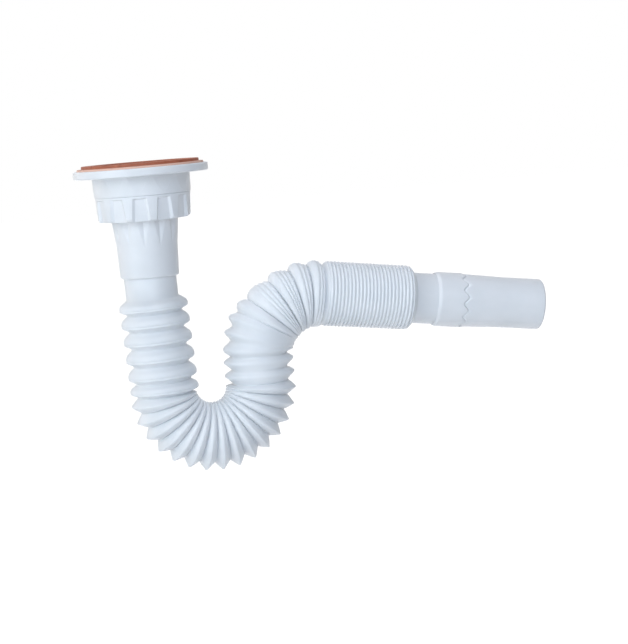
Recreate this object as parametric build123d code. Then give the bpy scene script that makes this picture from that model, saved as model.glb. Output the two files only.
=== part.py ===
from build123d import *
import math
import os

# Flexible waste trap. Sizes in mm, angles in degrees, +Z up and +X towards the outlet.
# The origin is the centre of the gasket's top face, where the sink sits.

# Sink gasket
gasket_bore_radius = 30.0
gasket_foot_radius = 40.3
gasket_foot_height = 1.8
gasket_step_radius = 37.4
gasket_step_height = 1.9

# Waste body
flange_radius = 42.9
flange_thickness = 5.0
flange_edge_radius = 0.9
gasket_seat_depth = 0.6
gasket_seat_clearance = 0.25
cup_top_radius = 31.5
cup_bottom_radius = 30.6
cup_height = 12.4
cup_wall = 2.6
cup_flat_distance = 30.75
bowl_floor_drop = 6.0
tail_radius = 22.8
tail_bore_radius = 19.5
tail_length = 8.4

# Cross bars and boss in the throat
bar_width = 3.0
bar_height = 6.0
boss_radius = 7.0
boss_height = 10.0
boss_top_depth = 14.0
screw_way_radius = 3.3

# Brass screw insert
insert_radius = 4.5
insert_height = 8.0
insert_thread_radius = 2.5
insert_clearance = 0.03

# Union nut
nut_top_radius = 30.3
nut_bottom_radius = 29.7
nut_edge = 1.2
nut_gap = 0.4
nut_lip_thickness = 2.5
thread_depth = 1.1
thread_clearance = 0.4
recess_count = 12
recess_phase = 19.5
recess_top_drop = 1.4
recess_top_width = 9.0
recess_bottom_width = 12.0
recess_side_width = 1.4
recess_top_depth = 1.5
recess_bottom_depth = 2.4

# Cuff seal
seal_inner_radius = 17.6
seal_outer_radius = 23.4
seal_thickness = 2.5

# Top cuff
shoulder_radius = 23.6
shoulder_thickness = 2.5
cuff_length = 36.9
cuff_top_radius = 21.4
cuff_waist_radius = 19.5
cuff_waist_drop = 16.0
cuff_rim_radius = 18.8
cuff_rim_edge = 0.9
cuff_lip_clearance = 0.5
cuff_mouth_radius = 17.8
flute_width = 8.0
flute_depth = 1.6
flute_length = 17.0

# Hose
hose_wall = 1.0
collar_radius = 16.8
collar_insertion = 16.0
collar_visible = 13.9
collar_clearance = 0.1
root_radius = 17.6
leg_length = 62.4
leg_lean = 2.5
leg_crest_radius = 22.2
trap_bend_radius = 31.2
trap_folds = 15
trap_crest_radius = 23.2
trap_inner_first_radius = 20.4
trap_inner_last_radius = 22.8
trap_inner_depth = 0.7
riser_length = 20.0
riser_fold_lag = 0.6
riser_folds = 2
riser_crest_radius = 22.9
elbow_bend_radius = 34.7
elbow_fold_lead = 2.0
elbow_fins = 3
outlet_fall = 8.4
stack_lead = 7.5
stack_shoulder = 3.1
stack_folds = 23
stack_pitch = 2.38
stack_flank = 0.55
stack_first_radius = 21.3
stack_last_radius = 21.1
stack_groove_depth = 1.35
stack_end_length = 4.0
end_collar_radius = 16.6
end_collar_visible = 17.9
end_collar_insertion = 15.0

# Leg folds from the collar to the trap: relative width
leg_folds = [9.3, 11.0, 11.2, 11.3, 11.2, 8.4]

# Elbow folds from the riser to the stack: relative width, then the crest and root radius on the
# outer side of the bend and on its inner side
elbow_folds = [
    (7.7, 22.7, 17.8, 23.2, 18.0),
    (6.3, 22.6, 17.9, 23.8, 23.2),
    (6.7, 22.5, 18.3, 24.0, 23.4),
    (6.6, 20.9, 17.9, 24.3, 23.7),
    (12.1, 19.5, 16.7, 24.5, 23.9),
    (9.9, 19.8, 15.4, 24.0, 23.4),
    (8.3, 20.7, 15.6, 23.3, 22.7),
    (8.3, 21.3, 17.1, 22.2, 21.6),
]

# Outlines of one fold: place across its width, and height from root to crest
leg_outline = [(0.28, 0.78), (0.45, 0.97), (0.68, 1), (0.9, 0.12)]
fin_outline = [(0.5, 1)]
riser_outline = [(0.22, 0.35), (0.5, 0.92), (0.66, 1), (0.84, 0.55)]
# A lobe swells wide, and small folds lie nested on its far slope
lobe_outline = [
    (0.12, 0.66),
    (0.42, 1),
    (0.57, 0.78),
    (0.63, 0.88),
    (0.69, 0.56),
    (0.75, 0.68),
    (0.81, 0.34),
    (0.87, 0.45),
    (0.96, 0.04),
]
# The end of the stack: place along it, and share of the fall to the end collar
stack_end_outline = [(0.1, 0.1), (0.4, 0.36), (0.75, 0.72), (1, 1)]

# Outlet spigot
outlet_length = 73.0
outlet_bore_radius = 14.3
socket_radius = 17.9
socket_length = 18.4
socket_lip_edge = 1.0
socket_lip_length = 1.8
socket_clearance = 0.15
wave_count = 12
wave_phase = 4.2
wave_height = 3.0
scallop_share = 0.75
wave_step = 0.5
tail_taper_length = 26.0
outlet_tail_radius = 16.7
outlet_tail_edge = 1.4

# Lengths that tools reach past a face
overcut = 1.0

# Levels down the inlet, from the gasket's top face
seat_z = -gasket_foot_height - gasket_step_height
flange_top_z = seat_z + gasket_seat_depth
flange_bottom_z = flange_top_z - flange_thickness
cup_bottom_z = flange_bottom_z - cup_height
tail_bottom_z = cup_bottom_z - tail_length
nut_top_z = cup_bottom_z - nut_gap
shoulder_top_z = tail_bottom_z - seal_thickness
shoulder_bottom_z = shoulder_top_z - shoulder_thickness
nut_bottom_z = shoulder_bottom_z - nut_lip_thickness
cuff_bottom_z = nut_bottom_z - cuff_length
socket_floor_z = cuff_bottom_z + collar_insertion


def turned(*points):
    """A solid of revolution about the Z axis from its outline in radius and height."""
    return revolve(Plane.XZ * make_face(Polyline(*points, close=True)), Axis.Z)


def around(count, phase, shape):
    """Copies of a shape set evenly about the Z axis."""
    return [place * shape for place in PolarLocations(0, count, phase)]


def make_gasket():
    step_z = -gasket_step_height
    return turned(
        (gasket_bore_radius, seat_z),
        (gasket_foot_radius, seat_z),
        (gasket_foot_radius, step_z),
        (gasket_step_radius, step_z),
        (gasket_step_radius, 0),
        (gasket_bore_radius, 0),
    )


def make_waste_body():
    bowl_radius = cup_bottom_radius - cup_wall
    bowl_floor_z = cup_bottom_z + bowl_floor_drop
    flange = turned(
        (bowl_radius, flange_bottom_z),
        (flange_radius, flange_bottom_z),
        (flange_radius, flange_top_z),
        (bowl_radius, flange_top_z),
    )
    rim = flange.edges().filter_by(GeomType.CIRCLE).sort_by(SortBy.RADIUS)[-2:]
    flange = fillet(rim, flange_edge_radius)
    flange -= turned(
        (0, seat_z),
        (gasket_foot_radius + gasket_seat_clearance, seat_z),
        (gasket_foot_radius + gasket_seat_clearance, flange_top_z + overcut),
        (0, flange_top_z + overcut),
    )
    cup = turned(
        (tail_bore_radius, cup_bottom_z),
        (cup_bottom_radius, cup_bottom_z),
        (cup_top_radius, flange_bottom_z),
        (bowl_radius, flange_bottom_z),
        (bowl_radius, bowl_floor_z),
        (tail_bore_radius, cup_bottom_z + cup_wall),
    )
    flats = RegularPolygon(cup_flat_distance, recess_count, major_radius=False)
    flats = Rot(0, 0, recess_phase + 180 / recess_count) * extrude(flats, cup_height)
    cup &= Pos(0, 0, cup_bottom_z) * flats
    tail = turned(
        (tail_bore_radius, tail_bottom_z),
        (tail_radius, tail_bottom_z),
        (tail_radius, cup_bottom_z),
        (tail_bore_radius, cup_bottom_z),
    )
    boss_middle_z = -boss_top_depth - boss_height / 2
    bar_middle_z = cup_bottom_z + cup_wall - bar_height / 2
    bar_length = tail_bore_radius + tail_radius
    boss = Pos(0, 0, boss_middle_z) * Cylinder(boss_radius, boss_height)
    bars = Box(bar_length, bar_width, bar_height) + Box(bar_width, bar_length, bar_height)
    pocket_radius = insert_radius + insert_clearance
    pocket = Pos(0, 0, -boss_top_depth - insert_height / 2) * Cylinder(pocket_radius, insert_height)
    screw_way = Pos(0, 0, boss_middle_z) * Cylinder(screw_way_radius, boss_height + overcut)
    body = flange + cup + tail + boss + Pos(0, 0, bar_middle_z) * bars
    return body - pocket - screw_way


def make_insert():
    middle_z = -boss_top_depth - insert_height / 2
    sleeve = Cylinder(insert_radius, insert_height)
    sleeve -= Cylinder(insert_thread_radius, insert_height + overcut)
    return Pos(0, 0, middle_z) * sleeve


def make_seal():
    return turned(
        (seal_inner_radius, shoulder_top_z),
        (seal_outer_radius, shoulder_top_z),
        (seal_outer_radius, tail_bottom_z),
        (seal_inner_radius, tail_bottom_z),
    )


def make_nut():
    thread_bore_radius = tail_radius + thread_depth + thread_clearance
    lip_radius = cuff_top_radius + cuff_lip_clearance
    nut = turned(
        (lip_radius, nut_bottom_z),
        (nut_bottom_radius - nut_edge, nut_bottom_z),
        (nut_bottom_radius, nut_bottom_z + nut_edge),
        (nut_top_radius, nut_top_z),
        (thread_bore_radius, nut_top_z),
        (thread_bore_radius, shoulder_bottom_z),
        (lip_radius, shoulder_bottom_z),
    )
    # Each grip recess has a flat floor that slopes deeper towards the bottom, and slanting sides
    recess_top_z = nut_top_z - recess_top_drop
    floor_top_radius = nut_top_radius - recess_top_depth
    floor_drop = recess_top_z - nut_bottom_z
    floor_inset = floor_top_radius - nut_bottom_radius + recess_bottom_depth
    floor_length = math.hypot(floor_drop, floor_inset) + overcut
    floor = Plane((floor_top_radius, 0, recess_top_z), (0, 1, 0), (floor_drop, 0, -floor_inset))
    reach = recess_bottom_depth + overcut
    outlines = []
    for height in (0, reach):
        spread = recess_side_width * (height / recess_bottom_depth - 1)
        top_half = recess_top_width / 2 + spread
        bottom_half = recess_bottom_width / 2 + spread
        corners = [(-top_half, 0), (top_half, 0), (bottom_half, -floor_length), (-bottom_half, -floor_length)]
        outlines.append(Wire.make_polygon([floor.from_local_coords((x, y, height)) for x, y in corners]))
    cutter = Solid.make_loft(outlines, True)
    return nut - around(recess_count, recess_phase, cutter)


def make_cuff():
    collar_bore = collar_radius - hose_wall
    socket_bore = collar_radius + collar_clearance
    cuff = turned(
        (collar_bore, socket_floor_z),
        (socket_bore, socket_floor_z),
        (socket_bore, cuff_bottom_z),
        (cuff_rim_radius - cuff_rim_edge, cuff_bottom_z),
        (cuff_rim_radius, cuff_bottom_z + cuff_rim_edge),
        (cuff_waist_radius, nut_bottom_z - cuff_waist_drop),
        (cuff_top_radius, nut_bottom_z),
        (cuff_top_radius, shoulder_bottom_z),
        (shoulder_radius, shoulder_bottom_z),
        (shoulder_radius, shoulder_top_z),
        (cuff_mouth_radius, shoulder_top_z),
        (cuff_mouth_radius, nut_bottom_z),
    )
    # Each flute is a V that is widest under the nut and runs out to a point
    flute_top_z = nut_bottom_z - nut_gap
    outside_half = flute_width / 2 * (flute_depth + overcut) / flute_depth
    mouth = Wire.make_polygon(
        [
            (cuff_top_radius - flute_depth, 0, flute_top_z),
            (cuff_top_radius + overcut, outside_half, flute_top_z),
            (cuff_top_radius + overcut, -outside_half, flute_top_z),
        ]
    )
    point = Vertex(cuff_waist_radius, 0, flute_top_z - flute_length)
    flute = Solid.make_loft([mouth, point], True)
    return cuff - around(recess_count, recess_phase, flute)


# Runs of the hose axis from its top end, each with its length and its turn
trap_turn = 180 - leg_lean
elbow_turn = 90 + outlet_fall
axis_runs = [
    (collar_insertion, 0),
    (collar_visible, leg_lean),
    (leg_length, 0),
    (math.radians(trap_turn) * trap_bend_radius, trap_turn),
    (riser_length, 0),
    (math.radians(elbow_turn) * elbow_bend_radius, -elbow_turn),
]
bent_length = sum(length for length, turn in axis_runs)


def axis_point(distance):
    """The X, Z and heading of the hose axis at a distance from the top end of the hose."""
    x = 0
    z = socket_floor_z
    heading = -90
    for length, turn in axis_runs + [(math.inf, 0)]:
        run = min(distance, length)
        swing = turn * run / length
        chord = run
        if swing:
            half = math.radians(swing) / 2
            chord = run * math.sin(half) / half
        middle = math.radians(heading + swing / 2)
        x += chord * math.cos(middle)
        z += chord * math.sin(middle)
        heading += swing
        distance -= run
    return x, z, heading


def axis_plane(distance):
    """The plane square to the hose axis at a distance along it."""
    x, z, heading = axis_point(distance)
    angle = math.radians(heading)
    along = (math.cos(angle), 0, math.sin(angle))
    return Plane(origin=(x, 0, z), x_dir=(0, 1, 0), z_dir=along)


def ring(distance, left, right):
    """A circle round the hose axis that reaches left and right of the way along it by these radii."""
    plane = axis_plane(distance)
    centre = plane.from_local_coords((0, (left - right) / 2, 0))
    return Edge.make_circle((left + right) / 2, Plane(centre, plane.x_dir, plane.z_dir))


def bands(rings):
    """Straight-sided bands from each ring to the next."""
    return [Face.make_surface_from_curves(first, last) for first, last in zip(rings, rings[1:])]


def between(first, last, share):
    """The pair of radii that lies a share of the way from one pair to another."""
    return [a + (b - a) * share for a, b in zip(first, last)]


def open_folds():
    """Start, width, outline, and left and right radii at root and crest of each fold down to the stack."""
    folds = []
    plain_root = (root_radius, root_radius)
    leg_crest = (leg_crest_radius, leg_crest_radius)
    riser_crest = (riser_crest_radius, riser_crest_radius)
    start = collar_insertion + collar_visible
    for share in leg_folds:
        width = leg_length * share / sum(leg_folds)
        folds.append((start, width, leg_outline, plain_root, leg_crest))
        start += width
    width = (math.radians(trap_turn) * trap_bend_radius + riser_fold_lag) / trap_folds
    growth = (trap_inner_last_radius - trap_inner_first_radius) / (trap_folds - 1)
    for number in range(trap_folds):
        inner_crest = trap_inner_first_radius + growth * number
        root = (inner_crest - trap_inner_depth, root_radius) if number else plain_root
        folds.append((start, width, fin_outline, root, (inner_crest, trap_crest_radius)))
        start += width
    width = (riser_length - riser_fold_lag - elbow_fold_lead) / riser_folds
    for number in range(riser_folds):
        folds.append((start, width, riser_outline, plain_root, riser_crest))
        start += width
    elbow_room = stack_start - stack_shoulder - start
    all_shares = sum(fold[0] for fold in elbow_folds)
    for number, (share, crest, root, inner_crest, inner_root) in enumerate(elbow_folds):
        width = elbow_room * share / all_shares
        outline = fin_outline if number < elbow_fins else lobe_outline
        folds.append((start, width, outline, (root, inner_root), (crest, inner_crest)))
        start += width
    return folds


# Places along the outlet end of the hose axis
stack_start = bent_length + stack_lead
stack_end = stack_start + stack_folds * stack_pitch
socket_start = stack_end + end_collar_visible
hose_end = socket_start + end_collar_insertion


def make_hose():
    collar = (collar_radius, collar_radius)
    outer = [(place, collar) for place in (0, collar_insertion, collar_insertion + collar_visible)]
    inner = list(outer)
    folds = open_folds()
    roots = [root for start, width, outline, root, crest in folds]
    for (start, width, outline, root, crest), next_root in zip(folds, roots[1:] + roots[-1:]):
        for place, height in outline:
            base = between(root, next_root, place)
            outer.append((start + width * place, between(base, crest, height)))
            if height == 1:
                inner.append((start + width * place, crest))
        outer.append((start + width, next_root))
        inner.append((start + width, next_root))
    # The last folds are pressed flank to flank, so they close up to a grooved wall
    for fold in range(stack_folds):
        share = fold / (stack_folds - 1)
        radius = stack_first_radius + (stack_last_radius - stack_first_radius) * share
        groove = radius - stack_groove_depth
        start = stack_start + fold * stack_pitch
        rib_start = start + stack_flank if fold else start
        outer.append((rib_start, (radius, radius)))
        outer.append((start + stack_pitch - stack_flank, (radius, radius)))
        outer.append((start + stack_pitch, (groove, groove)))
    end_collar = (end_collar_radius, end_collar_radius)
    last_rib = (stack_last_radius, stack_last_radius)
    for place, fall in stack_end_outline:
        outer.append((stack_end + stack_end_length * place, between(last_rib, end_collar, fall)))
    outer.append((hose_end, end_collar))
    inner.append((stack_start, end_collar))
    inner.append((hose_end, end_collar))
    outside = [ring(place, *reach) for place, reach in outer]
    inside = [ring(place, *(radius - hose_wall for radius in reach)) for place, reach in inner]
    ends = [Face(Wire(outside[end]), [Wire(inside[end])]) for end in (0, -1)]
    return Solid(Shell(bands(outside) + bands(inside) + ends))


def make_outlet():
    """The outlet along +Z, with its socket mouth at the origin."""
    socket_bore = end_collar_radius + socket_clearance
    neck_radius = socket_radius - wave_step
    taper_start = socket_length + wave_height
    tube = turned(
        (outlet_bore_radius, end_collar_insertion),
        (socket_bore, end_collar_insertion),
        (socket_bore, 0),
        (socket_radius - socket_lip_edge, 0),
        (socket_radius, socket_lip_length),
        (neck_radius, socket_lip_length),
        (neck_radius, taper_start),
        (outlet_tail_radius, taper_start + tail_taper_length),
        (outlet_tail_radius, outlet_length - outlet_tail_edge),
        (outlet_tail_radius - outlet_tail_edge, outlet_length),
        (outlet_bore_radius, outlet_length),
    )
    # The raised sleeve over the socket ends in round scallops between narrow tongues
    tongue_z = socket_length + wave_height / 2
    scallop_width = scallop_share * 2 * math.pi * socket_radius / wave_count
    scallop_radius = scallop_width**2 / (8 * wave_height) + wave_height / 2
    sleeve_radius = neck_radius - wave_step / 2
    sleeve = turned(
        (sleeve_radius, socket_lip_length),
        (socket_radius, socket_lip_length),
        (socket_radius, tongue_z),
        (sleeve_radius, tongue_z),
    )
    scallop = Rot(0, 90, 0) * Cylinder(scallop_radius, 6 * wave_step)
    scallop = Pos(socket_radius, 0, tongue_z - wave_height + scallop_radius) * scallop
    return tube + (sleeve - around(wave_count, wave_phase, scallop))


pieces = {
    "flange_gasket": make_gasket(),
    "waste_body": make_waste_body(),
    "screw_insert": make_insert(),
    "cuff_seal": make_seal(),
    "union_nut": make_nut(),
    "top_cuff": make_cuff(),
    "hose": make_hose(),
    "outlet_spigot": make_outlet().moved(Location(axis_plane(socket_start))),
}

os.makedirs("parts", exist_ok=True)
for name, piece in pieces.items():
    export_step(piece, f"parts/{name}.step")
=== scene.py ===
import math
from collections import namedtuple

import bmesh
import bpy
from mathutils import Matrix, Vector


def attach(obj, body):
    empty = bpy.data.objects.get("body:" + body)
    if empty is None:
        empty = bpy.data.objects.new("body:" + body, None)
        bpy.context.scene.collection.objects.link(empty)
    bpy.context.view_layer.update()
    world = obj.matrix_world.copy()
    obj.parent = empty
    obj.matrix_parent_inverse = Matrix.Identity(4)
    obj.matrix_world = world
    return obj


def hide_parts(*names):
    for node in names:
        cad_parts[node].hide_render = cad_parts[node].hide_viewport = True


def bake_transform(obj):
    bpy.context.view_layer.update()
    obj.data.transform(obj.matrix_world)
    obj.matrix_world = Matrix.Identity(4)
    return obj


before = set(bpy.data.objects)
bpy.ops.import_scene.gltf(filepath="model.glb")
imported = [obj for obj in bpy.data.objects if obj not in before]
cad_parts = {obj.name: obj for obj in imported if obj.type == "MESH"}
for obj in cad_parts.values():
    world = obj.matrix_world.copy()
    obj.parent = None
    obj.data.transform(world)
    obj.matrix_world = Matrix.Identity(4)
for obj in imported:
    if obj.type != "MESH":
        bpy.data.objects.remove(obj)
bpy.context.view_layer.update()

# Sizes are in mm, as in the part, with +Z up and +X towards the outlet
MM = 0.001

# Levels and sizes that more than one piece uses
GASKET_STEP_Z = -1.9
NUT_TOP_Z = -20.9
NUT_LIP_TOP_Z = -33.9
NUT_BOTTOM_Z = -36.4
SOCKET_FLOOR_Z = -57.3
RECESS_COUNT = 12
RECESS_PHASE = math.radians(19.5)
END_INSERTION = 15.0


# Small helpers

# A rounded corner takes at most this share of each side beside it
CORNER_SHARE = 0.45
CORNER_STEPS = 4


def smooth(start, end, value):
    """0 at start, 1 at end and an easy curve between."""
    share = min(max((value - start) / (end - start), 0.0), 1.0)
    return share * share * (3 - 2 * share)


def mix(a, b, share):
    return a + (b - a) * share


def part_way(first, last, share):
    """The point that lies a share of the way from first to last."""
    return [mix(a, b, share) for a, b in zip(first, last)]


def even(count):
    """Angles spaced evenly round a circle."""
    return [2 * math.pi * k / count for k in range(count)]


def spaced(start, step, count):
    return [start + step * k for k in range(count)]


def fill(points, step):
    """The closed outline with points added so that no side is longer than step."""
    out = []
    for here, after in zip(points, points[1:] + points[:1]):
        pieces = max(1, math.ceil(math.hypot(after[0] - here[0], after[1] - here[1]) / step))
        out += [part_way(here, after, k / pieces) for k in range(pieces)]
    return out


def soften(points, radius):
    """The closed outline with each corner rounded."""
    out = []
    for before, here, after in zip(points[-1:] + points[:-1], points, points[1:] + points[:1]):
        corner = Vector(here)
        to_before = Vector(before) - corner
        to_after = Vector(after) - corner
        reach = min(radius, to_before.length * CORNER_SHARE, to_after.length * CORNER_SHARE)
        start = corner + to_before.normalized() * reach
        end = corner + to_after.normalized() * reach
        for k in range(CORNER_STEPS + 1):
            t = k / CORNER_STEPS
            curve = start * (1 - t) ** 2 + corner * (2 * t * (1 - t)) + end * t * t
            out.append((curve.x, curve.y))
    return out


def skin(name, rings, closed=True, crease=40):
    """A mesh through rings of points in mm, where a closed one joins its last ring to its first.

    Edges that turn by more than the crease angle, in degrees, stay sharp.
    """
    count = len(rings[0])
    points = [Vector(p) * MM for ring in rings for p in ring]
    pairs = list(zip(range(len(rings) - 1), range(1, len(rings))))
    if closed:
        pairs.append((len(rings) - 1, 0))
    faces = []
    for a, b in pairs:
        for k in range(count):
            n = (k + 1) % count
            faces.append((a * count + k, a * count + n, b * count + n, b * count + k))
    mesh = bpy.data.meshes.new(name)
    mesh.from_pydata(points, [], faces)
    shape = bmesh.new()
    shape.from_mesh(mesh)
    bmesh.ops.recalc_face_normals(shape, faces=shape.faces)
    shape.to_mesh(mesh)
    shape.free()
    mesh.polygons.foreach_set("use_smooth", [True] * len(mesh.polygons))
    mesh.set_sharp_from_angle(angle=math.radians(crease))
    made = bpy.data.objects.new(name, mesh)
    bpy.context.collection.objects.link(made)
    return made


def lathe(name, outline, angles, warp=None):
    """A closed outline of radius and height turned about Z, with a radius that may vary round it."""
    rings = []
    for r, z in outline:
        ring = []
        for angle in angles:
            radius = warp(r, z, angle) if warp else r
            ring.append((radius * math.cos(angle), radius * math.sin(angle), z))
        rings.append(ring)
    return skin(name, rings)


# The hose's axis: down the cuff and leg, round the trap, up the riser, round the elbow and out

COLLAR_INSERTION = 16.0
COLLAR_VISIBLE = 13.9
LEG_LENGTH = 62.4
LEG_LEAN = 2.5
TRAP_BEND_R = 31.2
RISER_LENGTH = 20.0
ELBOW_BEND_R = 34.7
OUTLET_FALL = 8.4
STACK_LEAD = 7.5
STACK_RIBS = 23
STACK_PITCH = 2.38
END_VISIBLE = 17.9

COLLAR_END = COLLAR_INSERTION + COLLAR_VISIBLE
TRAP_LENGTH = math.radians(180 - LEG_LEAN) * TRAP_BEND_R
ELBOW_LENGTH = math.radians(90 + OUTLET_FALL) * ELBOW_BEND_R
# Length of each run, and the angle in degrees that it turns by
AXIS_RUNS = [
    (COLLAR_INSERTION, 0),
    (COLLAR_VISIBLE, LEG_LEAN),
    (LEG_LENGTH, 0),
    (TRAP_LENGTH, 180 - LEG_LEAN),
    (RISER_LENGTH, 0),
    (ELBOW_LENGTH, -90 - OUTLET_FALL),
]
STACK_START = sum(length for length, turn in AXIS_RUNS) + STACK_LEAD
STACK_END = STACK_START + STACK_RIBS * STACK_PITCH
SOCKET_START = STACK_END + END_VISIBLE
HOSE_END = SOCKET_START + END_INSERTION
BACK = Vector((0, 1, 0))


def axis_point(distance):
    """The place on the hose's axis at a distance from its top end, and the way to its left there."""
    x, z, heading = 0.0, SOCKET_FLOOR_Z, -90.0
    for length, turn in AXIS_RUNS + [(math.inf, 0)]:
        run = min(distance, length)
        swing = turn * run / length
        chord = run
        if swing:
            half = math.radians(swing) / 2
            chord = run * math.sin(half) / half
        middle = math.radians(heading + swing / 2)
        x += chord * math.cos(middle)
        z += chord * math.sin(middle)
        heading += swing
        distance -= run
    way = math.radians(heading)
    return Vector((x, 0, z)), Vector((-math.sin(way), 0, math.cos(way)))


def axis_ring(distance, reach, front, angles):
    """Points of a ring square to the hose's axis.

    The reach is how far it goes to the left and to the right of the axis, and the front is how far it
    stands out beyond a circle at its front and back.
    """
    centre, to_left = axis_point(distance)
    left, right = reach
    centre = centre + to_left * ((left - right) / 2)
    ring = []
    for a in angles:
        radius = (left + right) / 2 + front * math.cos(a) ** 2
        ring.append(centre + (BACK * math.cos(a) + to_left * math.sin(a)) * radius)
    return ring


# Materials

# The noise node's values lie mostly between these two and are stretched from there
NOISE_SPAN = {"From Min": 0.3, "From Max": 0.7}
# The mix node has sockets for each kind of data, and these are the ones for colours
COLOUR_A = 6
COLOUR_B = 7
COLOUR_OUT = 2
# At a scale of 1 the wave node's rings lie about this far apart
WAVE_SPACING = 0.3125


def linear(code):
    """Linear colour from an sRGB hex code."""
    parts = [int(code[k:k + 2], 16) / 255 for k in (0, 2, 4)]
    return [c / 12.92 if c <= 0.04045 else ((c + 0.055) / 1.055) ** 2.4 for c in parts] + [1.0]


def node(tree, kind, inputs, **settings):
    """Adds a node with its settings, and sets or links each of the given inputs."""
    made = tree.nodes.new(kind)
    for key, value in settings.items():
        setattr(made, key, value)
    for key, value in inputs.items():
        if isinstance(value, bpy.types.NodeSocket):
            tree.links.new(value, made.inputs[key])
        else:
            made.inputs[key].default_value = value
    return made


def new_material(name):
    """An empty material, its nodes, and the object's own coordinates to lay patterns out by."""
    material = bpy.data.materials.new(name)
    material.use_nodes = True
    tree = material.node_tree
    tree.nodes.clear()
    return material, tree, node(tree, "ShaderNodeTexCoord", {}).outputs["Object"]


def per_metre(size_mm):
    """The scale at which a pattern's features are about size_mm across."""
    return 1 / (size_mm * MM)


def mottled(tree, coords, size_mm, detail, dark, light):
    """A colour that drifts between dark and light in patches about size_mm across."""
    pattern = {"Vector": coords, "Scale": per_metre(size_mm), "Detail": detail}
    patches = node(tree, "ShaderNodeTexNoise", pattern)
    share = node(tree, "ShaderNodeMapRange", {"Value": patches.outputs["Fac"], **NOISE_SPAN})
    shades = {"Factor": share.outputs["Result"], COLOUR_A: linear(dark), COLOUR_B: linear(light)}
    return node(tree, "ShaderNodeMix", shades, data_type="RGBA").outputs[COLOUR_OUT]


def uneven_sheen(tree, coords, size_mm, low, high):
    """A roughness that drifts from low to high in patches about size_mm across."""
    patches = node(tree, "ShaderNodeTexNoise", {"Vector": coords, "Scale": per_metre(size_mm), "Detail": 2})
    span = {"Value": patches.outputs["Fac"], **NOISE_SPAN, "To Min": low, "To Max": high}
    return node(tree, "ShaderNodeMapRange", span).outputs["Result"]


def grained(tree, coords, size_mm, height_mm):
    """A face with fine bumps, drawn coarser than the real ones, which are too fine to show."""
    grain = node(tree, "ShaderNodeTexNoise", {"Vector": coords, "Scale": per_metre(size_mm), "Detail": 2})
    bumps = {"Height": grain.outputs["Fac"], "Distance": height_mm * MM, "Strength": 1.0}
    return node(tree, "ShaderNodeBump", bumps).outputs["Normal"]


def white_plastic(name, light, dark, rough, grain_mm, grain_height_mm, glow):
    """Satin white plastic: a faint cloud in its colour, mould grain, and light that soaks in a little."""
    cloud_mm = 18
    sheen_patch_mm = 6
    sheen_spread = 0.04
    glow_depth_mm = 2.0
    material, tree, coords = new_material(name)
    shader = node(tree, "ShaderNodeBsdfPrincipled", {
        "Base Color": mottled(tree, coords, cloud_mm, 3, dark, light),
        "Roughness": uneven_sheen(tree, coords, sheen_patch_mm, rough - sheen_spread, rough + sheen_spread),
        "IOR": 1.49,
        "Subsurface Weight": glow,
        "Subsurface Radius": (1.0, 0.95, 0.9),
        "Subsurface Scale": glow_depth_mm * MM,
        "Normal": grained(tree, coords, grain_mm, grain_height_mm),
    })
    node(tree, "ShaderNodeOutputMaterial", {"Surface": shader.outputs[0]})
    return material


def moulded_rubber(name, light, dark, rough, painted_highlight=None, painted_highlight_top=0):
    """Matt rubber: mottled colour, a pitted face and, on a gasket, a painted highlight: a paler colour up to
    a height that stands in for the light its foot catches.
    """
    mottle_mm = 5
    pit_mm = 0.5
    pit_depth_mm = 0.03
    sheen_patch_mm = 3
    sheen_spread = 0.06
    highlight_blur_mm = 0.15
    highlight_share = 0.92
    material, tree, coords = new_material(name)
    colour = mottled(tree, coords, mottle_mm, 4, dark, light)
    # Painted highlight: below the step the colour turns paler, standing in for the light that the gasket's
    # foot catches
    if painted_highlight:
        highlight_mask = node(tree, "ShaderNodeMapRange", {
            "Value": node(tree, "ShaderNodeSeparateXYZ", {"Vector": coords}).outputs["Z"],
            "From Min": (painted_highlight_top - highlight_blur_mm) * MM,
            "From Max": (painted_highlight_top + highlight_blur_mm) * MM,
            "To Min": highlight_share,
            "To Max": 0,
        })
        shades = {"Factor": highlight_mask.outputs["Result"], COLOUR_A: colour, COLOUR_B: linear(painted_highlight)}
        colour = node(tree, "ShaderNodeMix", shades, data_type="RGBA").outputs[COLOUR_OUT]
    shader = node(tree, "ShaderNodeBsdfPrincipled", {
        "Base Color": colour,
        "Roughness": uneven_sheen(tree, coords, sheen_patch_mm, rough - sheen_spread, rough + sheen_spread),
        "Normal": grained(tree, coords, pit_mm, pit_depth_mm),
    })
    node(tree, "ShaderNodeOutputMaterial", {"Surface": shader.outputs[0]})
    return material


def turned_brass(name, light, dark):
    """Turned brass: tool rings round the insert's axis and a slightly uneven colour."""
    tarnish_mm = 2
    sheen_patch_mm = 1
    # Real tool rings are too fine to show, so these are drawn coarser
    tool_ring_mm = 0.5
    tool_ring_depth_mm = 0.02
    material, tree, coords = new_material(name)
    rings = node(tree, "ShaderNodeTexWave", {
        "Vector": coords,
        "Scale": WAVE_SPACING * per_metre(tool_ring_mm),
        "Distortion": 0.4,
    }, wave_type="RINGS", rings_direction="Z")
    bump = node(tree, "ShaderNodeBump", {
        "Height": rings.outputs["Fac"],
        "Distance": tool_ring_depth_mm * MM,
        "Strength": 0.6,
    })
    shader = node(tree, "ShaderNodeBsdfPrincipled", {
        "Base Color": mottled(tree, coords, tarnish_mm, 3, dark, light),
        "Metallic": 1.0,
        "Roughness": uneven_sheen(tree, coords, sheen_patch_mm, 0.26, 0.36),
        "Normal": bump.outputs["Normal"],
    })
    node(tree, "ShaderNodeOutputMaterial", {"Surface": shader.outputs[0]})
    return material


# Injection-moulded polypropylene, for the flange body, nut, cuff and outlet: a cool white with a
# satin sheen, and edges that look a little soft because light soaks in
moulding = white_plastic(
    "polypropylene_injection_moulded", light="f0f1f3", dark="eaecee",
    rough=0.36, grain_mm=0.7, grain_height_mm=0.008, glow=0.12,
)
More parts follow.
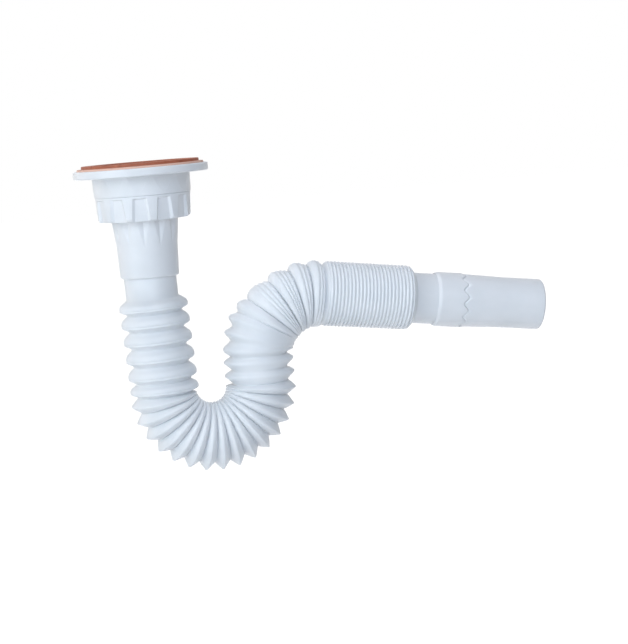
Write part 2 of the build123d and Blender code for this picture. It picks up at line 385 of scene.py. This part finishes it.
# Blow-moulded polypropylene, for the hose: a thinner wall that lets more light soak in, with a
# duller sheen and a coarser grain
hose_plastic = white_plastic(
    "polypropylene_blow_moulded", light="eff1f3", dark="e8ebee",
    rough=0.40, grain_mm=1.1, grain_height_mm=0.012, glow=0.16,
)
# Compression-moulded orange rubber, for the sink gasket: matt and mottled, with a painted highlight on its
# foot, a paler colour that stands in for the light it catches
gasket_rubber = moulded_rubber(
    "rubber_moulded_orange", light="b46a4e", dark="9e593f",
    rough=0.62, painted_highlight="f2c9b6", painted_highlight_top=GASKET_STEP_Z,
)
# Compression-moulded black rubber, for the ring inside the union: matt and nearly even
seal_rubber = moulded_rubber("rubber_moulded_black", light="2e2e30", dark="222224", rough=0.6)
# Turned brass, for the screw insert: a warm metal shine broken up by tool rings
brass = turned_brass("brass_turned", light="d2b26c", dark="b08d4a")


def dress(obj, material, body=None):
    """Gives a piece its material and slot and, when a body is named, the body that it rides on."""
    obj.data.materials.clear()
    obj.data.materials.append(material)
    if body:
        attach(obj, body)


# Sink gasket: a foot and a step with soft moulded edges

GASKET_BORE_R = 30
GASKET_FOOT_R = 40.3
GASKET_STEP_R = 37.4
GASKET_SEAT_Z = -3.7
GASKET_SOFT_EDGE = 0.45
GASKET_POINTS = 192

gasket_outline = [
    (GASKET_BORE_R, GASKET_SEAT_Z), (GASKET_FOOT_R, GASKET_SEAT_Z), (GASKET_FOOT_R, GASKET_STEP_Z),
    (GASKET_STEP_R, GASKET_STEP_Z), (GASKET_STEP_R, 0), (GASKET_BORE_R, 0),
]
gasket = lathe("gasket_skin", soften(gasket_outline, GASKET_SOFT_EDGE), even(GASKET_POINTS))
dress(gasket, gasket_rubber, "inlet")
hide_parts("flange_gasket")

# Waste body, screw insert and cuff seal keep their own solids

dress(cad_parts["waste_body"], moulding)
dress(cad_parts["screw_insert"], brass)
dress(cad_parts["cuff_seal"], seal_rubber)

# Thread on the tail: a rounded ridge that winds down from the cup and runs out at both ends

THREAD_ROOT_R = 22.7
THREAD_TOP_Z = -21.4
THREAD_PITCH = 2.309
THREAD_TURNS = 3
THREAD_STEPS = 72
THREAD_RUN_OUT = 18
# Points of the ridge: height above the root, and place up or down from its middle
THREAD_RIDGE = [(0, 1.0), (1.0, 0.35), (1.15, 0), (1.0, -0.35), (0, -1.0)]

thread_rings = []
last_step = THREAD_TURNS * THREAD_STEPS
for step in range(last_step + 1):
    angle = 2 * math.pi * step / THREAD_STEPS
    level = THREAD_TOP_Z - THREAD_PITCH * step / THREAD_STEPS
    grown = min(1, step / THREAD_RUN_OUT, (last_step - step) / THREAD_RUN_OUT)
    ring = []
    for height, up in THREAD_RIDGE:
        radius = THREAD_ROOT_R + height * grown
        ring.append((radius * math.cos(angle), -radius * math.sin(angle), level + up))
    thread_rings.append(ring)
thread = skin("tail_thread", thread_rings, closed=False)
dress(thread, moulding, "inlet")

# Union nut: twelve flat-floored grip recesses that deepen and widen towards the bottom

NUT_TOP_R = 30.3
NUT_BOTTOM_R = 29.7
NUT_EDGE = 1.2
NUT_BORE_R = 24.3
NUT_LIP_R = 21.9
# The nut reaches up into the gap under the cup, so that only a fine seam is left
NUT_RISE = 0.35
NUT_SOFT_EDGE = 0.5
NUT_STEP = 0.5
# The radius at which a recess's widths are measured
RECESS_R = 29.5
RECESS_TOP_Z = NUT_TOP_Z - 1.4
RECESS_TOP_HALF_WIDTH = 4.5
RECESS_BOTTOM_HALF_WIDTH = 6.0
RECESS_TOP_FLOOR_R = 28.8
RECESS_BOTTOM_FLOOR_R = 27.3
RECESS_SIDE_WIDTH = 1.4
# Levels between which the upper end of a recess slopes in
RECESS_END_HIGH_Z = NUT_TOP_Z - 1.15
RECESS_END_LOW_Z = NUT_TOP_Z - 1.6
# Places from a recess's middle at 0 to its edge at 1 and a little beyond, closest on its side
RECESS_PLACES = [0, 0.3, 0.58, 0.68, 0.72, 0.75, 0.78, 0.83, 0.89, 0.94, 0.97, 1.0, 1.03, 1.08]


def nut_ring(r, z):
    """Points round the nut at one level, cut back to the floor where they lie in a grip recess."""
    depth = min(max((RECESS_TOP_Z - z) / (RECESS_TOP_Z - NUT_BOTTOM_Z), 0), 1)
    half = math.asin(mix(RECESS_TOP_HALF_WIDTH, RECESS_BOTTOM_HALF_WIDTH, depth) / RECESS_R)
    floor_r = mix(RECESS_TOP_FLOOR_R, RECESS_BOTTOM_FLOOR_R, depth)
    opening = smooth(RECESS_END_HIGH_Z, RECESS_END_LOW_Z, z)
    beyond = half * RECESS_PLACES[-1]
    land_middle = math.pi / RECESS_COUNT
    one_side = [half * place for place in RECESS_PLACES] + [(beyond + land_middle) / 2, land_middle]
    both_sides = [-turn for turn in reversed(one_side[1:-1])] + one_side
    ring = []
    for number in range(RECESS_COUNT):
        for turn in both_sides:
            inside = min(max((half - abs(turn)) * RECESS_R / RECESS_SIDE_WIDTH, 0), 1) * opening
            radius = mix(r, min(r, floor_r / math.cos(turn)), inside)
            angle = RECESS_PHASE + 2 * math.pi / RECESS_COUNT * number + turn
            ring.append((radius * math.cos(angle), radius * math.sin(angle), z))
    return ring


nut_outline = [
    (NUT_LIP_R, NUT_BOTTOM_Z), (NUT_BOTTOM_R - NUT_EDGE, NUT_BOTTOM_Z),
    (NUT_BOTTOM_R, NUT_BOTTOM_Z + NUT_EDGE), (NUT_TOP_R, NUT_TOP_Z + NUT_RISE),
    (NUT_BORE_R, NUT_TOP_Z + NUT_RISE), (NUT_BORE_R, NUT_LIP_TOP_Z), (NUT_LIP_R, NUT_LIP_TOP_Z),
]
nut = skin("nut_skin", [nut_ring(r, z) for r, z in fill(soften(nut_outline, NUT_SOFT_EDGE), NUT_STEP)])
dress(nut, moulding, "nut")
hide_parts("union_nut")

# Top cuff: tapered, with V flutes under the nut that run out to a point

CUFF_SHOULDER_R = 23.6
CUFF_SHOULDER_TOP_Z = -31.45
CUFF_TOP_R = 21.4
CUFF_WAIST_R = 19.5
CUFF_WAIST_Z = NUT_BOTTOM_Z - 16
CUFF_RIM_R = 18.8
CUFF_RIM_EDGE = 0.9
CUFF_BOTTOM_Z = -73.3
CUFF_MOUTH_R = 17.8
CUFF_SOCKET_R = 16.9
CUFF_THROAT_R = 15.8
CUFF_SOFT_EDGE = 0.4
CUFF_STEP = 0.7
CUFF_POINTS = RECESS_COUNT * 28
FLUTE_TOP_Z = NUT_BOTTOM_Z - 0.4
FLUTE_TOP_BLUR = 0.2
FLUTE_LENGTH = 17.0
FLUTE_HALF_WIDTH = 4.0
FLUTE_DEPTH = 1.6
# Only the cuff's outside, which lies beyond this radius, is fluted
FLUTE_FROM_R = 18.9


def cuff_flutes(r, z, angle):
    """The cuff's radius, cut back where a flute passes."""
    if r < FLUTE_FROM_R or z > FLUTE_TOP_Z + FLUTE_TOP_BLUR:
        return r
    left = 1 - (FLUTE_TOP_Z - z) / FLUTE_LENGTH
    if left <= 0:
        return r
    pitch = 2 * math.pi / RECESS_COUNT
    turn = (angle - RECESS_PHASE + pitch / 2) % pitch - pitch / 2
    sideways = abs(r * math.sin(turn)) / (FLUTE_HALF_WIDTH * left)
    opening = smooth(FLUTE_TOP_Z + FLUTE_TOP_BLUR, FLUTE_TOP_Z - FLUTE_TOP_BLUR, z)
    return r - FLUTE_DEPTH * left * max(0, 1 - sideways) * opening


cuff_outline = [
    (CUFF_THROAT_R, SOCKET_FLOOR_Z), (CUFF_SOCKET_R, SOCKET_FLOOR_Z), (CUFF_SOCKET_R, CUFF_BOTTOM_Z),
    (CUFF_RIM_R - CUFF_RIM_EDGE, CUFF_BOTTOM_Z), (CUFF_RIM_R, CUFF_BOTTOM_Z + CUFF_RIM_EDGE),
    (CUFF_WAIST_R, CUFF_WAIST_Z), (CUFF_TOP_R, NUT_BOTTOM_Z), (CUFF_TOP_R, NUT_LIP_TOP_Z),
    (CUFF_SHOULDER_R, NUT_LIP_TOP_Z), (CUFF_SHOULDER_R, CUFF_SHOULDER_TOP_Z),
    (CUFF_MOUTH_R, CUFF_SHOULDER_TOP_Z), (CUFF_MOUTH_R, NUT_BOTTOM_Z),
]
cuff_points = fill(soften(cuff_outline, CUFF_SOFT_EDGE), CUFF_STEP)
cuff = lathe("cuff_skin", cuff_points, even(CUFF_POINTS), cuff_flutes)
dress(cuff, moulding, "hose")
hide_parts("top_cuff")

# Hose: blunt leg folds, sharp trap fins, elbow lobes with nested folds, and a closed stack of ribs

HOSE_WALL = 1.0
HOSE_POINTS = 96
# The hose's corners are rounded by points of their own, so only a turn beyond this stays sharp
HOSE_CREASE = 110
COLLAR_R = 16.8
COLLAR_EDGE = 0.4
ROOT_R = 17.6
LEG_CREST_R = 22.2
TRAP_FOLDS = 15
TRAP_CREST_R = 23.2
TRAP_INNER_FIRST_R = 20.4
TRAP_INNER_LAST_R = 22.8
TRAP_INNER_DEPTH = 0.7
RISER_FOLDS = 2
RISER_FOLD_LAG = 0.6
RISER_CREST_R = 22.9
ELBOW_FOLD_LEAD = 2.0
STACK_SHOULDER = 3.1
STACK_FIRST_R = 21.3
STACK_LAST_R = 21.1
STACK_ENDING = 4.0
END_COLLAR_R = 16.6
# A rib: its depth, how far its groove stands out at the front, where its crest lies across its
# width, and how steeply it leaves the crest, where 1 is a straight slope
RIB_DEPTH = 1.35
RIB_FRONT = 0.6
RIB_CREST = 0.375
RIB_STEEPNESS = 1.5
RIB_STEPS = 8
# Relative widths of the leg folds from the collar to the trap
LEG_FOLDS = [9.3, 11.0, 11.2, 11.3, 11.2, 8.4]
# Elbow folds from the riser to the stack: relative width, then crest and root radius on the outer
# side of the bend and on its inner side
ELBOW_FOLDS = [
    (7.7, 22.7, 17.8, 23.2, 18.0), (6.3, 22.6, 17.9, 23.8, 23.2), (6.7, 22.5, 18.3, 24.0, 23.4),
    (6.6, 20.9, 17.9, 24.3, 23.7), (12.1, 19.5, 16.7, 24.5, 23.9), (9.9, 19.8, 15.4, 24.0, 23.4),
    (8.3, 20.7, 15.6, 23.3, 22.7), (8.3, 21.3, 17.1, 22.2, 21.6),
]
# Outlines of one fold: place across its width, height from root to crest, and how far it stands out
# at the front and back of the hose, where the folds are flatter, rounder or more pinched
LEG_OUTLINE = [
    (0, 0, -0.3), (0.1, 0.3, 0.2), (0.28, 0.78, -0.1), (0.45, 0.97, -0.3), (0.56, 1, -0.3),
    (0.61, 0.95, -0.55), (0.68, 1, -0.2), (0.76, 0.8, -0.1), (0.9, 0.1, 0), (1, 0, -0.3),
]
TRAP_OUTLINE = [
    (0, 0, -1.1), (0.08, 0.16, 0.1), (0.2, 0.4, 0.6), (0.35, 0.7, 0.4), (0.5, 1, -0.1), (0.65, 0.7, 0.4),
    (0.8, 0.4, 0.6), (0.92, 0.16, 0.1), (1, 0, -1.1),
]
RISER_OUTLINE = [
    (0, 0, 2.0), (0.22, 0.35, 1.0), (0.5, 0.92, -1.1), (0.66, 1, -1.6), (0.84, 0.55, 0.1), (1, 0, 2.0),
]
FIN_OUTLINE = [
    (0, 0, 1.3), (0.16, 0.24, 0.8), (0.36, 0.84, -0.5), (0.5, 1, -0.9), (0.64, 0.84, -0.5), (0.84, 0.24, 0.8),
    (1, 0, 1.3),
]
SMALL_LOBE_OUTLINE = [
    (0, 0, -0.6), (0.05, 0.3, 0), (0.18, 0.7, 0), (0.4, 1, 0), (0.6, 0.9, -0.1), (0.82, 0.5, -0.1),
    (0.95, 0.2, 0), (1, 0, -1.2),
]
WIDE_LOBE_OUTLINE = [
    (0, 0, -1.6), (0.03, 0.3, -0.2), (0.12, 0.7, 0), (0.24, 0.92, 0.1), (0.36, 1, 0.1), (0.45, 0.85, -0.6),
    (0.53, 0.94, 0.15), (0.62, 0.65, -0.6), (0.7, 0.76, 0.2), (0.79, 0.42, -0.6), (0.87, 0.53, 0.25),
    (0.96, 0.2, 0), (1, 0, -1.6),
]
NARROW_LOBE_OUTLINE = [
    (0, 0, -1.6), (0.04, 0.35, -0.2), (0.15, 0.72, 0), (0.3, 0.95, 0.1), (0.42, 1, 0.1), (0.54, 0.84, -0.6),
    (0.65, 0.9, 0.1), (0.77, 0.5, -0.6), (0.88, 0.57, 0.2), (0.955, 0.2, 0), (1, 0, -1.6),
]
# How far each corner of an outline is rounded, as a share of the fold's width
LEG_EASING = 0.04
TRAP_EASING = 0.03
RISER_EASING = 0.06
# The outline and easing of each elbow fold
ELBOW_OUTLINES = [(FIN_OUTLINE, 0.06)] * 3 + [(SMALL_LOBE_OUTLINE, 0.03)]
ELBOW_OUTLINES += [(WIDE_LOBE_OUTLINE, 0.02)] * 2 + [(NARROW_LOBE_OUTLINE, 0.025)] * 2
# The slope up to the first rib: distance before the stack, and radius
STACK_SLOPE = [(1.1, 20.3), (0.6, 20.8)]
# The round shoulder after the last rib: place along it, and share of the fall to the end collar
STACK_ENDING_OUTLINE = [
    (0, 0.3), (0.05, 0.14), (0.12, 0.11), (0.25, 0.2), (0.4, 0.36), (0.6, 0.56), (0.75, 0.72), (0.88, 0.89),
    (0.95, 0.97), (1, 1),
]

# A fold's root and crest are each a reach to the left and to the right of the hose's axis
Fold = namedtuple("Fold", "start width outline easing root crest")


def eased(outline, reach):
    """The fold outline with each inner corner turned into a short curve, and its ends left out."""
    out = []
    for before, here, after in zip(outline, outline[1:], outline[2:]):
        start = part_way(here, before, min(CORNER_SHARE, reach / (here[0] - before[0])))
        end = part_way(here, after, min(CORNER_SHARE, reach / (after[0] - here[0])))
        for t in (0, 0.5, 1):
            sides = zip(start, here, end)
            out.append([a * (1 - t) ** 2 + b * 2 * t * (1 - t) + c * t * t for a, b, c in sides])
    return out


def open_folds():
    """The folds between the collar and the closed stack, in order."""
    out = []
    round_root = (ROOT_R, ROOT_R)
    leg_crest = (LEG_CREST_R, LEG_CREST_R)
    riser_crest = (RISER_CREST_R, RISER_CREST_R)
    start = COLLAR_END
    for share in LEG_FOLDS:
        width = LEG_LENGTH * share / sum(LEG_FOLDS)
        out.append(Fold(start, width, LEG_OUTLINE, LEG_EASING, round_root, leg_crest))
        start += width
    width = (TRAP_LENGTH + RISER_FOLD_LAG) / TRAP_FOLDS
    for number in range(TRAP_FOLDS):
        inner_crest = mix(TRAP_INNER_FIRST_R, TRAP_INNER_LAST_R, number / (TRAP_FOLDS - 1))
        root = (inner_crest - TRAP_INNER_DEPTH, ROOT_R) if number else round_root
        out.append(Fold(start, width, TRAP_OUTLINE, TRAP_EASING, root, (inner_crest, TRAP_CREST_R)))
        start += width
    width = (RISER_LENGTH - RISER_FOLD_LAG - ELBOW_FOLD_LEAD) / RISER_FOLDS
    for number in range(RISER_FOLDS):
        out.append(Fold(start, width, RISER_OUTLINE, RISER_EASING, round_root, riser_crest))
        start += width
    room = STACK_START - STACK_SHOULDER - start
    shares = sum(fold[0] for fold in ELBOW_FOLDS)
    for (share, crest, root, inner_crest, inner_root), (outline, easing) in zip(ELBOW_FOLDS, ELBOW_OUTLINES):
        width = room * share / shares
        out.append(Fold(start, width, outline, easing, (root, inner_root), (crest, inner_crest)))
        start += width
    return out


# Outer and inner rings of the hose: place along it, reach left and right, and front
collar_places = (0, COLLAR_EDGE, COLLAR_INSERTION, COLLAR_END - COLLAR_EDGE)
outer = [(place, (COLLAR_R, COLLAR_R), 0) for place in collar_places]
inner = [(place, (COLLAR_R, COLLAR_R), 0) for place in (0, COLLAR_INSERTION, COLLAR_END)]
folds = open_folds()
for fold, next_fold in zip(folds, folds[1:] + folds[-1:]):
    for place, height, front in eased(fold.outline, fold.easing):
        reach = part_way(part_way(fold.root, next_fold.root, place), fold.crest, height)
        outer.append((fold.start + fold.width * place, reach, front))
    # Where two kinds of fold meet, the root between them stands out by the mean of the two
    meeting = (fold.outline[-1][2] + next_fold.outline[0][2]) / 2
    outer.append((fold.start + fold.width, next_fold.root, meeting))
    deepest = min(front for place, height, front in fold.outline)
    inner.append((fold.start + fold.width / 2, fold.crest, deepest))
    inner.append((fold.start + fold.width, next_fold.root, meeting))
outer += [(STACK_START - before, (radius, radius), 0) for before, radius in STACK_SLOPE]
# Each closed rib rises quickly to its crest and falls away slowly, and is shallower at the front
for rib in range(STACK_RIBS):
    crest = mix(STACK_FIRST_R, STACK_LAST_R, rib / (STACK_RIBS - 1))
    start = STACK_START + rib * STACK_PITCH
    for step in range(RIB_STEPS):
        share = step / RIB_STEPS
        run = RIB_CREST if share < RIB_CREST else 1 - RIB_CREST
        dip = (abs(share - RIB_CREST) / run) ** RIB_STEEPNESS
        radius = crest - RIB_DEPTH * dip
        outer.append((start + share * STACK_PITCH, (radius, radius), RIB_FRONT * dip))
for place, fall in STACK_ENDING_OUTLINE:
    radius = mix(STACK_LAST_R, END_COLLAR_R, fall)
    outer.append((STACK_END + STACK_ENDING * place, (radius, radius), 0))
outer += [(place, (END_COLLAR_R, END_COLLAR_R), 0) for place in (SOCKET_START, HOSE_END)]
inner += [(place, (END_COLLAR_R, END_COLLAR_R), 0) for place in (STACK_START, STACK_END, HOSE_END)]
hose_angles = even(HOSE_POINTS)
hose_rings = [axis_ring(place, reach, front, hose_angles) for place, reach, front in outer]
for place, (left, right), front in reversed(inner):
    hose_rings.append(axis_ring(place, (left - HOSE_WALL, right - HOSE_WALL), front, hose_angles))
hose = skin("hose_skin", hose_rings, crease=HOSE_CREASE)
dress(hose, hose_plastic)
stack_from, _ = axis_point(STACK_START)
stack_to, _ = axis_point(STACK_END)
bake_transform(hose)
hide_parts("hose")

# Outlet: chamfered socket lip, raised sleeve with a wavy edge, tapered neck and plain tail

OUTLET_LENGTH = 73.0
OUTLET_POINTS = 240
SLEEVE_R = 17.9
NECK_R = 17.4
NECK_START = 21.4
NECK_LENGTH = 26.0
TAIL_R = 16.7
TAIL_EDGE = 1.4
TAIL_EDGE_STEPS = 6
BORE_R = 14.3
BORE_EDGE_R = 14.45
BORE_EDGE_LENGTH = 0.2
SOCKET_R = 16.75
SOCKET_EDGE = 0.1
WAVE_PLACE = 18.4
WAVE_HALF_HEIGHT = 1.5
WAVE_COUNT = 12
WAVE_PHASE = math.radians(4.2)
WAVE_HALF_SLOPE = 0.35
GROOVE_DEPTH = 0.5
GROOVE_PLACE = 0.6
GROOVE_HALF_WIDTH = 1.1
# The socket lip: distance past the mouth, and radius
LIP = [(0, 16.9), (0.3, 17.1), (1.4, 17.7)]
# Rings along the outlet, which are closest where the wavy edge runs
outlet_places = spaced(1.9, 0.5, 28) + spaced(16.1, 0.12, 40) + spaced(21.2, 1.5, 34)
outlet_angles = even(OUTLET_POINTS)


def outlet_radius(t, angle):
    """Outside radius of the outlet at a distance t past its mouth."""
    edge = WAVE_PLACE - WAVE_HALF_HEIGHT * math.cos(WAVE_COUNT * (angle - WAVE_PHASE))
    neck = mix(NECK_R, TAIL_R, min(max((t - NECK_START) / NECK_LENGTH, 0), 1))
    groove = GROOVE_DEPTH * max(0, 1 - abs(t - edge - GROOVE_PLACE) / GROOVE_HALF_WIDTH)
    return mix(neck, SLEEVE_R, smooth(edge + WAVE_HALF_SLOPE, edge - WAVE_HALF_SLOPE, t)) - groove


def outlet_ring(t, radii):
    """Points round the outlet's axis at a distance t past its mouth, with a radius for each angle."""
    centre, to_left = axis_point(SOCKET_START + t)
    return [centre + (BACK * math.cos(a) + to_left * math.sin(a)) * r for a, r in zip(outlet_angles, radii)]


tail_end = []
for step in range(TAIL_EDGE_STEPS + 1):
    turn = math.pi / 2 * step / TAIL_EDGE_STEPS
    past_mouth = OUTLET_LENGTH - TAIL_EDGE + TAIL_EDGE * math.sin(turn)
    tail_end.append((past_mouth, TAIL_R - TAIL_EDGE + TAIL_EDGE * math.cos(turn)))
water_way = [
    (OUTLET_LENGTH, BORE_EDGE_R), (OUTLET_LENGTH - BORE_EDGE_LENGTH, BORE_R), (END_INSERTION, BORE_R),
    (END_INSERTION, SOCKET_R), (SOCKET_EDGE, SOCKET_R),
]
outlet_rings = [outlet_ring(t, [r] * OUTLET_POINTS) for t, r in LIP]
outlet_rings += [outlet_ring(t, [outlet_radius(t, a) for a in outlet_angles]) for t in outlet_places]
outlet_rings += [outlet_ring(t, [r] * OUTLET_POINTS) for t, r in tail_end + water_way]
outlet = skin("outlet_skin", outlet_rings)
dress(outlet, moulding, "outlet")
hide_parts("outlet_spigot")

# Stage, in metres: a pale floor well below the trap and a white studio round it

FLOOR_Z = -0.5
FLOOR_CORNERS = [(-6, -6), (6, -6), (6, 12), (-6, 12)]
FLOOR_CLOUD_MM = 400
# Strength of the studio's white as a light on the part, and as a background
AMBIENT = 0.13
BACKGROUND = 1.0


def background_rays(tree):
    """1 for the rays that see the plain white background: from the camera, a shine or a clear piece."""
    path = node(tree, "ShaderNodeLightPath", {})
    seen = path.outputs["Is Camera Ray"]
    for ray in ("Is Glossy Ray", "Is Transmission Ray"):
        seen = node(tree, "ShaderNodeMath", {0: seen, 1: path.outputs[ray]}, operation="MAXIMUM").outputs[0]
    return seen


floor_mesh = bpy.data.meshes.new("floor")
floor_mesh.from_pydata([(x, y, FLOOR_Z) for x, y in FLOOR_CORNERS], [], [(0, 1, 2, 3)])
floor = bpy.data.objects.new("floor", floor_mesh)
bpy.context.collection.objects.link(floor)
# Rolled white paint, for the floor: matt, with broad and very faint clouds
floor_look, tree, coords = new_material("studio_floor_painted_white")
matt = node(tree, "ShaderNodeBsdfDiffuse", {
    "Color": mottled(tree, coords, FLOOR_CLOUD_MM, 2, dark="f4f4f4", light="f8f8f8"),
})
lift = node(tree, "ShaderNodeEmission", {"Strength": background_rays(tree)})
both = node(tree, "ShaderNodeAddShader", {0: matt.outputs[0], 1: lift.outputs[0]})
node(tree, "ShaderNodeOutputMaterial", {"Surface": both.outputs[0]})
floor_mesh.materials.append(floor_look)

world = bpy.data.worlds.new("studio")
bpy.context.scene.world = world
world.use_nodes = True
tree = world.node_tree
tree.nodes.clear()
strength = node(tree, "ShaderNodeMapRange", {
    "Value": background_rays(tree),
    "To Min": AMBIENT,
    "To Max": BACKGROUND,
})
sky = node(tree, "ShaderNodeBackground", {"Color": linear("ffffff"), "Strength": strength.outputs["Result"]})
node(tree, "ShaderNodeOutputWorld", {"Surface": sky.outputs[0]})

# Lamps: place in metres, power in watts, and colour

LAMP_SIZE = 1.6
LAMP_TARGET = Vector((0.1, 0, -0.1))
LAMPS = {
    "key_light": ((-1.72, -1.05, -0.1), 11.3, "e0f4ff"),
    "high_light": ((-1.55, -0.95, 0.79), 8.8, "fffbf8"),
    "front_light": ((-0.07, -1.9, 0.79), 18.7, "dcecff"),
    "top_light": ((0.1, -0.1, 2.0), 13.6, "eff3ff"),
    "back_light": ((-1.6, 1.2, 0.5), 7.3, "fff7f5"),
}
for name, (place, power, colour) in LAMPS.items():
    light = bpy.data.lights.new(name, "AREA")
    light.shape = "DISK"
    light.size = LAMP_SIZE
    light.energy = power
    light.color = linear(colour)[:3]
    lamp = bpy.data.objects.new(name, light)
    lamp.location = place
    lamp.rotation_euler = (LAMP_TARGET - Vector(place)).to_track_quat("-Z", "Y").to_euler()
    bpy.context.collection.objects.link(lamp)

# Camera, in metres: a little to the left of straight in front, above the part and rolled

CAMERA_AZIMUTH = math.radians(-10.93)
CAMERA_ELEVATION = math.radians(5.80)
CAMERA_ROLL = math.radians(-4.69)
CAMERA_DISTANCE = 1.3
CAMERA_TARGET = Vector((0.10394, 0, -0.11287))

away = Vector((
    math.sin(CAMERA_AZIMUTH) * math.cos(CAMERA_ELEVATION),
    -math.cos(CAMERA_AZIMUTH) * math.cos(CAMERA_ELEVATION),
    math.sin(CAMERA_ELEVATION),
))
right = Vector((0, 0, 1)).cross(away).normalized()
up = away.cross(right)
turned_right = right * math.cos(CAMERA_ROLL) + up * math.sin(CAMERA_ROLL)
turned_up = up * math.cos(CAMERA_ROLL) - right * math.sin(CAMERA_ROLL)
spot = CAMERA_TARGET + away * CAMERA_DISTANCE
lens = bpy.data.cameras.new("camera")
lens.sensor_fit = "HORIZONTAL"
lens.sensor_width = 36
lens.lens = 114.51
lens.clip_end = 50
camera = bpy.data.objects.new("camera", lens)
camera.matrix_world = Matrix((
    (turned_right.x, turned_up.x, away.x, spot.x),
    (turned_right.y, turned_up.y, away.y, spot.y),
    (turned_right.z, turned_up.z, away.z, spot.z),
    (0, 0, 0, 1),
))
bpy.context.collection.objects.link(camera)
bpy.context.scene.camera = camera
bpy.context.scene.view_settings.view_transform = "Standard"
